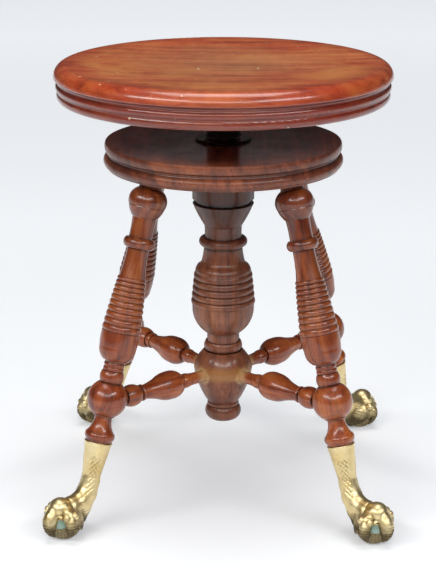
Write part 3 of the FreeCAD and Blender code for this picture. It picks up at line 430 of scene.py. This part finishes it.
def joined(a, b, blend):
    """The union of two fields with a fillet of about the given size."""
    share = np.clip(0.5 + 0.5 * (b - a) / blend, 0.0, 1.0)
    return b * (1 - share) + a * share - blend * share * (1 - share)


def cone(points, start, end, start_radius, end_radius):
    """Distance to a rod with round ends whose radius changes along it."""
    axis = end - start
    share = np.clip((points - start) @ axis / (axis @ axis), 0.0, 1.0)
    nearest = start + share[:, None] * axis
    radius = start_radius + share * (end_radius - start_radius)
    return np.linalg.norm(points - nearest, axis=1) - radius


def chain(points, steps, blend):
    """Rods through (u, v, z, radius) steps."""
    field = None
    for (*start, start_radius), (*end, end_radius) in zip(steps, steps[1:]):
        rod = cone(points, np.array(start), np.array(end), start_radius, end_radius)
        field = rod if field is None else joined(field, rod, blend)
    return field


def bulb(points, centre, radii):
    scaled = (points - np.array(centre)) / np.array(radii)
    return (np.linalg.norm(scaled, axis=1) - 1.0) * min(radii)


def on_ball(azimuth, angle, outside):
    """A point outside the glass ball, at an angle down from straight above its centre."""
    away = BALL_RADIUS + outside
    turn, down = math.radians(azimuth), math.radians(angle)
    return BALL + away * np.array((math.sin(down) * math.cos(turn),
                                   math.sin(down) * math.sin(turn), math.cos(down)))


def toe(points, azimuth, size, steps):
    """A toe round the ball, from (angle, share, outside) steps, with ridged knuckles."""
    turn = math.radians(azimuth)
    across = np.array((-math.sin(turn), math.cos(turn), 0.0))
    field = chain(points, [(*on_ball(azimuth, a, out), size * r) for a, r, out in steps], 2.0)
    local = points - BALL
    ahead = local @ np.array((math.cos(turn), math.sin(turn), 0.0))
    angle = np.degrees(np.arctan2(ahead, local[:, 2]))
    side = np.abs(local @ across)
    ridges = 0.42 * np.cos(np.radians((angle - RIDGE_ANGLE) / RIDGE_STEP * 360.0))
    fade = np.exp(-((angle - RIDGE_ANGLE) / 13.0) ** 2) * np.clip(1.4 - side / 9.0, 0.0, 1.0)
    return field - ridges * fade


def foot_field(points):
    """Distance to the brass casting, negative inside."""
    along_leg = (points - RIM) @ DOWN_LEG
    off_axis = points - RIM - along_leg[:, None] * DOWN_LEG
    from_axis = np.linalg.norm(off_axis, axis=1)
    share = np.clip(along_leg / SHANK_LENGTH, -0.1, 1.0)
    shank = (from_axis - (RIM_RADIUS + share * (ANKLE_RADIUS - RIM_RADIUS))) * 0.985
    lip = np.exp(-((along_leg - 1.6) / 1.3) ** 2) * 0.35
    shank = np.maximum(shank - lip, -along_leg)
    shank = np.maximum(shank, along_leg - SHANK_LENGTH - 3.0)

    instep, heel = (
        chain(points, [(ANKLE[0] + out, 0, ANKLE[2] + up, radius)
                       for out, up, radius in steps], 3.0)
        for steps in (INSTEP, HEEL)
    )
    field = joined(joined(shank, instep, 3.0), heel, 4.0)

    from_ball = np.linalg.norm(points - BALL, axis=1)
    inward = np.array((-math.sin(PALM_TILT), 0.0, math.cos(PALM_TILT)))
    shell = np.maximum(from_ball - PALM_RADIUS, 1.0 - (points - BALL) @ inward)
    field = joined(field, shell, 3.5)

    dome = bulb(points, DOME, DOME_RADII)
    front = toe(points, 0, FRONT_TOE_RADIUS, FRONT_TOE)
    field = joined(field, front, 1.4)
    field = joined(field, dome, 1.0)

    for side in (-1, 1):
        side_toe = toe(points, side * SIDE_TOE_AZIMUTH, SIDE_TOE_RADIUS, SIDE_TOE)
        field = joined(field, side_toe, 1.2)
        for azimuth, angle, radius in BEADS:
            middle = on_ball(side * azimuth, angle, BEAD_OUTSIDE)
            field = joined(field, np.linalg.norm(points - middle, axis=1) - radius, 0.9)

    turn = np.arctan2(points[:, 1], points[:, 0] - BALL[0])
    edge = CUP_TOP + 1.1 * np.cos(turn * 5.0)
    cup = from_ball - CUP_RADIUS - 0.35 * np.cos(turn * 22.0)
    field = joined(field, np.maximum(cup, points[:, 2] - edge), 1.0)
    web = np.maximum(from_ball - WEB_RADIUS, WEB_FOOT - points[:, 2])
    field = joined(field, web, 1.0)

    wrinkle = np.sin(points[:, 2] * 1.9 + np.abs(points[:, 1]) * 0.8) * 0.30
    ridged_out, ridged_up = HEEL_RIDGES
    where = np.exp(-((points[:, 0] - ridged_out) / 8.0) ** 2
                   - ((points[:, 2] - ridged_up) / 9.0) ** 2)
    field = field - wrinkle * where

    field = np.maximum(field, BALL_RADIUS + BALL_GAP - from_ball)
    socket = np.maximum(from_axis - SOCKET_RADIUS, along_leg - SOCKET_DEPTH)
    field = np.maximum(field, -socket)
    return np.maximum(field, FLOOR_GAP - points[:, 2])


PANEL_MIDDLE = 57.0
PANEL_HALF = 29.0
PANEL_RADIUS = 11.0
SCALE_PITCH = 2.3
SCALE_HEIGHT = 0.62


def scales(points):
    """How far the scaled panels on both sides of the shank stand proud, in millimetres."""
    along_leg = (points - RIM) @ DOWN_LEG
    off_axis = points - RIM - along_leg[:, None] * DOWN_LEG
    around = np.degrees(np.arctan2(np.abs(off_axis[:, 1]), off_axis @ OUT_LEG))
    arc = np.radians(around - PANEL_MIDDLE) * PANEL_RADIUS
    first = np.sin((along_leg * 0.8 + arc) * math.pi / SCALE_PITCH)
    second = np.sin((along_leg * 0.8 - arc) * math.pi / SCALE_PITCH)
    pattern = np.clip(first, -0.6, 1.0) * (0.62 + 0.38 * second) * SCALE_HEIGHT
    across = np.clip((PANEL_HALF - np.abs(around - PANEL_MIDDLE)) / 6.0, 0.0, 1.0)
    length = np.clip((along_leg - 14.0) / 2.0, 0.0, 1.0) * np.clip((60.0 - along_leg) / 6.0, 0, 1)
    return pattern * across * length


def surface(field, low, high, step):
    """Points and quads of the field's zero surface, by surface nets."""
    axes = [np.arange(a, b + step, step) for a, b in zip(low, high)]
    grid = np.stack(np.meshgrid(*axes, indexing="ij"), axis=-1)
    shape = grid.shape[:3]
    values = np.concatenate([field(part) for part in np.array_split(grid.reshape(-1, 3), 24)])
    values = values.reshape(shape)
    inside = values < 0
    cells = np.zeros(tuple(n - 1 for n in shape), bool)
    total = np.zeros((*cells.shape, 3))
    count = np.zeros(cells.shape)
    corner = (slice(0, -1), slice(1, None))
    offsets = [(i, j, k) for i in (0, 1) for j in (0, 1) for k in (0, 1)]
    for offset in offsets:
        here = tuple(corner[bit] for bit in offset)
        for axis in range(3):
            if offset[axis]:
                continue
            beyond = list(offset)
            beyond[axis] = 1
            there = tuple(corner[bit] for bit in beyond)
            crossed = inside[here] != inside[there]
            a, b = values[here], values[there]
            share = np.where(crossed, a / np.where(crossed, a - b, 1.0), 0.0)
            point = grid[here] + share[..., None] * (grid[there] - grid[here])
            total += np.where(crossed[..., None], point, 0.0)
            count += crossed
            cells |= crossed
    number = -np.ones(cells.shape, int)
    number[cells] = np.arange(cells.sum())
    points = total[cells] / count[cells][:, None]
    faces = []
    for axis in range(3):
        first, second = [other for other in range(3) if other != axis]
        start = [slice(1, -1)] * 3
        start[axis] = slice(0, -1)
        after = [slice(1, -1)] * 3
        after[axis] = slice(1, None)
        crossed = inside[tuple(start)] != inside[tuple(after)]
        i, j, k = np.nonzero(crossed)
        index = np.stack((i, j, k), axis=1)
        index[:, [first, second]] += 1
        ring = []
        for a, b in ((0, 0), (-1, 0), (-1, -1), (0, -1)):
            moved = index.copy()
            moved[:, first] += a
            moved[:, second] += b
            ring.append(number[tuple(moved.T)])
        quads = np.stack(ring, axis=1)
        flip = inside[tuple(start)][crossed]
        if axis == 1:
            flip = ~flip
        quads[flip] = quads[flip][:, ::-1]
        faces.append(quads)
    return points, np.concatenate(faces)


def slope(field, points, step=0.12):
    """The field's gradient at each point."""
    parts = []
    for axis in range(3):
        move = np.zeros(3)
        move[axis] = step
        parts.append((field(points + move) - field(points - move)) / (2 * step))
    return np.stack(parts, axis=1)


def settle(field, points, rounds):
    """Moves points onto the field's zero surface."""
    for _ in range(rounds):
        gradient = slope(field, points)
        size = np.maximum((gradient**2).sum(axis=1), 0.2)
        pull = np.clip(field(points) / size, -0.5, 0.5)
        points = points - pull[:, None] * gradient
    return points


def neighbour_mean(values, faces, count):
    """The mean over each point's neighbours along the faces' edges."""
    total = np.zeros((count, *values.shape[1:]))
    number = np.zeros(count)
    for a in range(4):
        first, second = faces[:, a], faces[:, (a + 1) % 4]
        np.add.at(total, first, values[second])
        np.add.at(total, second, values[first])
        np.add.at(number, first, 1)
        np.add.at(number, second, 1)
    return total / (number[:, None] if values.ndim > 1 else number)


FOOT_LOW, FOOT_HIGH = (160.0, -27.0, -0.4), (256.0, 27.0, 99.0)
FOOT_STEP, QUICK_FOOT_STEP = 0.75, 1.6


def claw_foot_mesh(step):
    """Points in millimetres, quads and the hollow value of each point."""
    points, faces = surface(foot_field, FOOT_LOW, FOOT_HIGH, step)
    points = settle(foot_field, points, 3)
    normals = slope(foot_field, points)
    normals /= np.maximum(np.linalg.norm(normals, axis=1), 1e-6)[:, None]
    bend = ((neighbour_mean(points, faces, len(points)) - points) * normals).sum(axis=1)
    for _ in range(2):
        bend = neighbour_mean(bend, faces, len(points))
    relief = scales(points)
    hollow = np.clip(0.5 + bend * 7.0 - relief * 0.75, 0.0, 1.0)
    return points + relief[:, None] * normals, faces, hollow


def add_feet(material):
    step = FOOT_STEP
    local, faces, hollow = claw_foot_mesh(step)
    for corner, azimuth in CORNERS.items():
        turn = np.array(Matrix.Rotation(math.radians(azimuth), 3, "Z"))
        piece = mesh_piece(f"claw_{corner}", local @ turn.T * MM, faces, material, "base",
                           [f"claw_foot_{corner}"])
        values = piece.data.attributes.new("hollow", "FLOAT", "POINT")
        values.data.foreach_set("value", hollow)


def add_balls(material):
    """Glass balls with the small flat that each stands on."""
    for corner, azimuth in CORNERS.items():
        ball = bmesh.new()
        bmesh.ops.create_icosphere(ball, subdivisions=5, radius=BALL_RADIUS)
        centre = Matrix.Rotation(math.radians(azimuth), 3, "Z") @ Vector(BALL)
        for vert in ball.verts:
            vert.co.z = max(vert.co.z, -BALL[2])
        points = [(vert.co + centre) * MM for vert in ball.verts]
        faces = [[vert.index for vert in face.verts] for face in ball.faces]
        ball.free()
        mesh_piece(f"ball_{corner}", points, faces, material, "base",
                   [f"glass_ball_{corner}"])


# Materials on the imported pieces

def dress(node, material):
    """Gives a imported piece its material."""
    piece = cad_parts[node]
    piece.data.materials.clear()
    piece.data.materials.append(material)
    return piece


SEAT_TONES = ((0.330, 0.062, 0.018), (0.640, 0.180, 0.052), (0.780, 0.290, 0.085))
DISC_TONES = ((0.070, 0.017, 0.009), (0.190, 0.046, 0.020), (0.380, 0.110, 0.042))
COLUMN_TONES = ((0.120, 0.036, 0.018), (0.310, 0.100, 0.044), (0.480, 0.180, 0.080))
LEG_TONES = ((0.150, 0.030, 0.011), (0.470, 0.112, 0.029), (0.680, 0.240, 0.058))


# A point on the axis of each leg and each stretcher, in metres, and the stretcher's lean
LEG_AXIS = (0.1, 0, 0.36)
STRETCHER_AXIS = (0, 0, 0.127)
STRETCHER_LEAN = 2.2 - 90


def add_materials():
    dress("seat_board", wood(
        "seat_wood", *SEAT_TONES, rotation=(0, math.radians(90), math.radians(4)),
        location=(0.31, 0.12, 0.05), wear=(0.60, 0.24, 0.08), wear_amount=0.25, curl=0.12,
        pore=0.12, haze=0.36, coat=0.75, patches=seat_patches))
    dress("apron_disc", wood("disc_wood", *DISC_TONES, rotation=(math.radians(92), 0, 0.3),
                             location=(0.7, 0.4, 0.2), wear=(0.40, 0.12, 0.04),
                             wear_amount=0.40, haze=0.40, coat=0.25))
    dress("centre_column", wood("column_wood", *COLUMN_TONES, location=(0.1, 0.9, 0.3),
                                wear=(0.36, 0.16, 0.085), haze=0.36, coat=0.3,
                                patches=column_patches))
    for number, (corner, azimuth) in enumerate(CORNERS.items()):
        shift = (0.37 * number + 0.2, 0.23 * number, 0.4 * number)
        top = Matrix.Rotation(math.radians(azimuth), 3, "Z") @ Vector(LEG_AXIS)
        turn, move = along(azimuth, LEG_SPLAY, top, shift)
        dress(f"leg_{corner}", wood(f"leg_wood_{corner}", *LEG_TONES, turn, move,
                                    patches=leg_painted_shade))
        turn, move = along(azimuth, STRETCHER_LEAN, STRETCHER_AXIS, shift[::-1])
        dress(f"stretcher_{corner}", wood(f"stretcher_wood_{corner}", *LEG_TONES, turn, move,
                                          patches=stretcher_patches))
    dark_steel = steel("steel", (0.34, 0.33, 0.32), (0.16, 0.09, 0.05))
    screw_steel = steel("screw_steel", (0.42, 0.38, 0.33), (0.20, 0.12, 0.07))
    cast = iron()
    for node in ("seat_plate", "spindle_nut"):
        dress(node, cast)
    for node in ("seat_spindle", "stop_washer", "stop_pin", "spindle_cross_pin"):
        dress(node, dark_steel)
    for node in ("seat_plate_screws", "nut_screws"):
        dress(node, screw_steel)
    metal = brass()
    dress("foot_pins", metal)
    add_feet(metal)
    add_balls(glass())


# Studio

# Half the floor's width in metres, and the glow that the eye sees near and far
FLOOR_HALF = 6
FLOOR_NEAR, FLOOR_FAR = 0.30, 0.74


def add_floor():
    mesh = bpy.data.meshes.new("floor")
    ends = ((-1, -1), (1, -1), (1, 1), (-1, 1))
    mesh.from_pydata([(x * FLOOR_HALF, y * FLOOR_HALF, 0) for x, y in ends], [], [(0, 1, 2, 3)])
    floor = bpy.data.objects.new("floor", mesh)
    bpy.context.scene.collection.objects.link(floor)
    graph = Graph("floor")
    rays = graph.tree.nodes.new("ShaderNodeLightPath")
    shown = graph.math("MAXIMUM", rays.outputs["Is Camera Ray"], rays.outputs["Is Glossy Ray"])
    shown = graph.math("MAXIMUM", shown, rays.outputs["Is Transmission Ray"])
    _, distance = reach(graph)
    far = graph.level(distance, 0.4, 3.2, FLOOR_NEAR, FLOOR_FAR)
    graph.finish(Base_Color=(0.80, 0.82, 0.84, 1.0), Roughness=0.75,
                 Emission_Color=(0.93, 0.96, 1.0, 1.0),
                 Emission_Strength=graph.math("MULTIPLY", shown, far))
    mesh.materials.append(graph.material)


# Name, place, the height on the stool's axis that it is aimed at, size, watts and colour
LIGHTS = (
    ("left", (-1.45, -1.45, 1.75), 0.25, (1.7, 0.42), 27, (1.0, 0.98, 0.96)),
    ("front", (0.0, -2.35, 1.75), 0.25, (1.9, 0.34), 17, (1.0, 1.0, 1.0)),
    ("right", (1.45, -1.45, 1.75), 0.25, (1.6, 0.42), 21, (0.97, 0.98, 1.0)),
    ("top", (0.0, 0.1, 2.4), 0.3, (1.6, 1.2), 30, (1.0, 1.0, 1.0)),
)


def add_light(name, place, aim_height, size, power, colour):
    lamp = bpy.data.lights.new(name, "AREA")
    lamp.shape = "RECTANGLE"
    lamp.size, lamp.size_y = size
    lamp.energy = power
    lamp.color = colour
    light = bpy.data.objects.new(name, lamp)
    light.location = place
    ahead = Vector((0, 0, aim_height)) - Vector(place)
    light.rotation_euler = ahead.to_track_quat("-Z", "Y").to_euler()
    bpy.context.scene.collection.objects.link(light)


# Strength of the surroundings as light, and as the eye sees them
WORLD_LIGHT, WORLD_SEEN = 0.06, 1.0


def add_world():
    world = bpy.data.worlds.new("studio")
    bpy.context.scene.world = world
    world.use_nodes = True
    nodes, links = world.node_tree.nodes, world.node_tree.links
    background = nodes["Background"]
    background.inputs["Color"].default_value = (0.86, 0.88, 0.90, 1.0)
    rays = nodes.new("ShaderNodeLightPath")
    seen = nodes.new("ShaderNodeMath")
    seen.operation = "MAXIMUM"
    links.new(rays.outputs["Is Camera Ray"], seen.inputs[0])
    links.new(rays.outputs["Is Transmission Ray"], seen.inputs[1])
    strength = nodes.new("ShaderNodeMapRange")
    strength.inputs["To Min"].default_value = WORLD_LIGHT
    strength.inputs["To Max"].default_value = WORLD_SEEN
    links.new(seen.outputs[0], strength.inputs["Value"])
    links.new(strength.outputs["Result"], background.inputs["Strength"])


CAMERA_PLACE = (0.0539, -1.7579, 0.7723)
CAMERA_HEADING = math.radians(1.94)
CAMERA_PITCH = math.radians(17.365)
CAMERA_LENS = 105.75


def add_camera():
    """The photograph's viewpoint, fitted to the seat, the disc, the column and the feet."""
    camera = bpy.data.cameras.new("camera")
    camera.lens = CAMERA_LENS
    camera.sensor_width = 36.0
    camera.clip_end = 60.0
    eye = bpy.data.objects.new("camera", camera)
    level = math.cos(CAMERA_PITCH)
    ahead = Vector((-math.sin(CAMERA_HEADING) * level, math.cos(CAMERA_HEADING) * level,
                    -math.sin(CAMERA_PITCH)))
    eye.location = CAMERA_PLACE
    eye.rotation_euler = ahead.to_track_quat("-Z", "Y").to_euler()
    bpy.context.scene.collection.objects.link(eye)
    bpy.context.scene.camera = eye


add_materials()
add_floor()
for light in LIGHTS:
    add_light(*light)
add_world()
add_camera()
bpy.context.scene.view_settings.view_transform = "Standard"
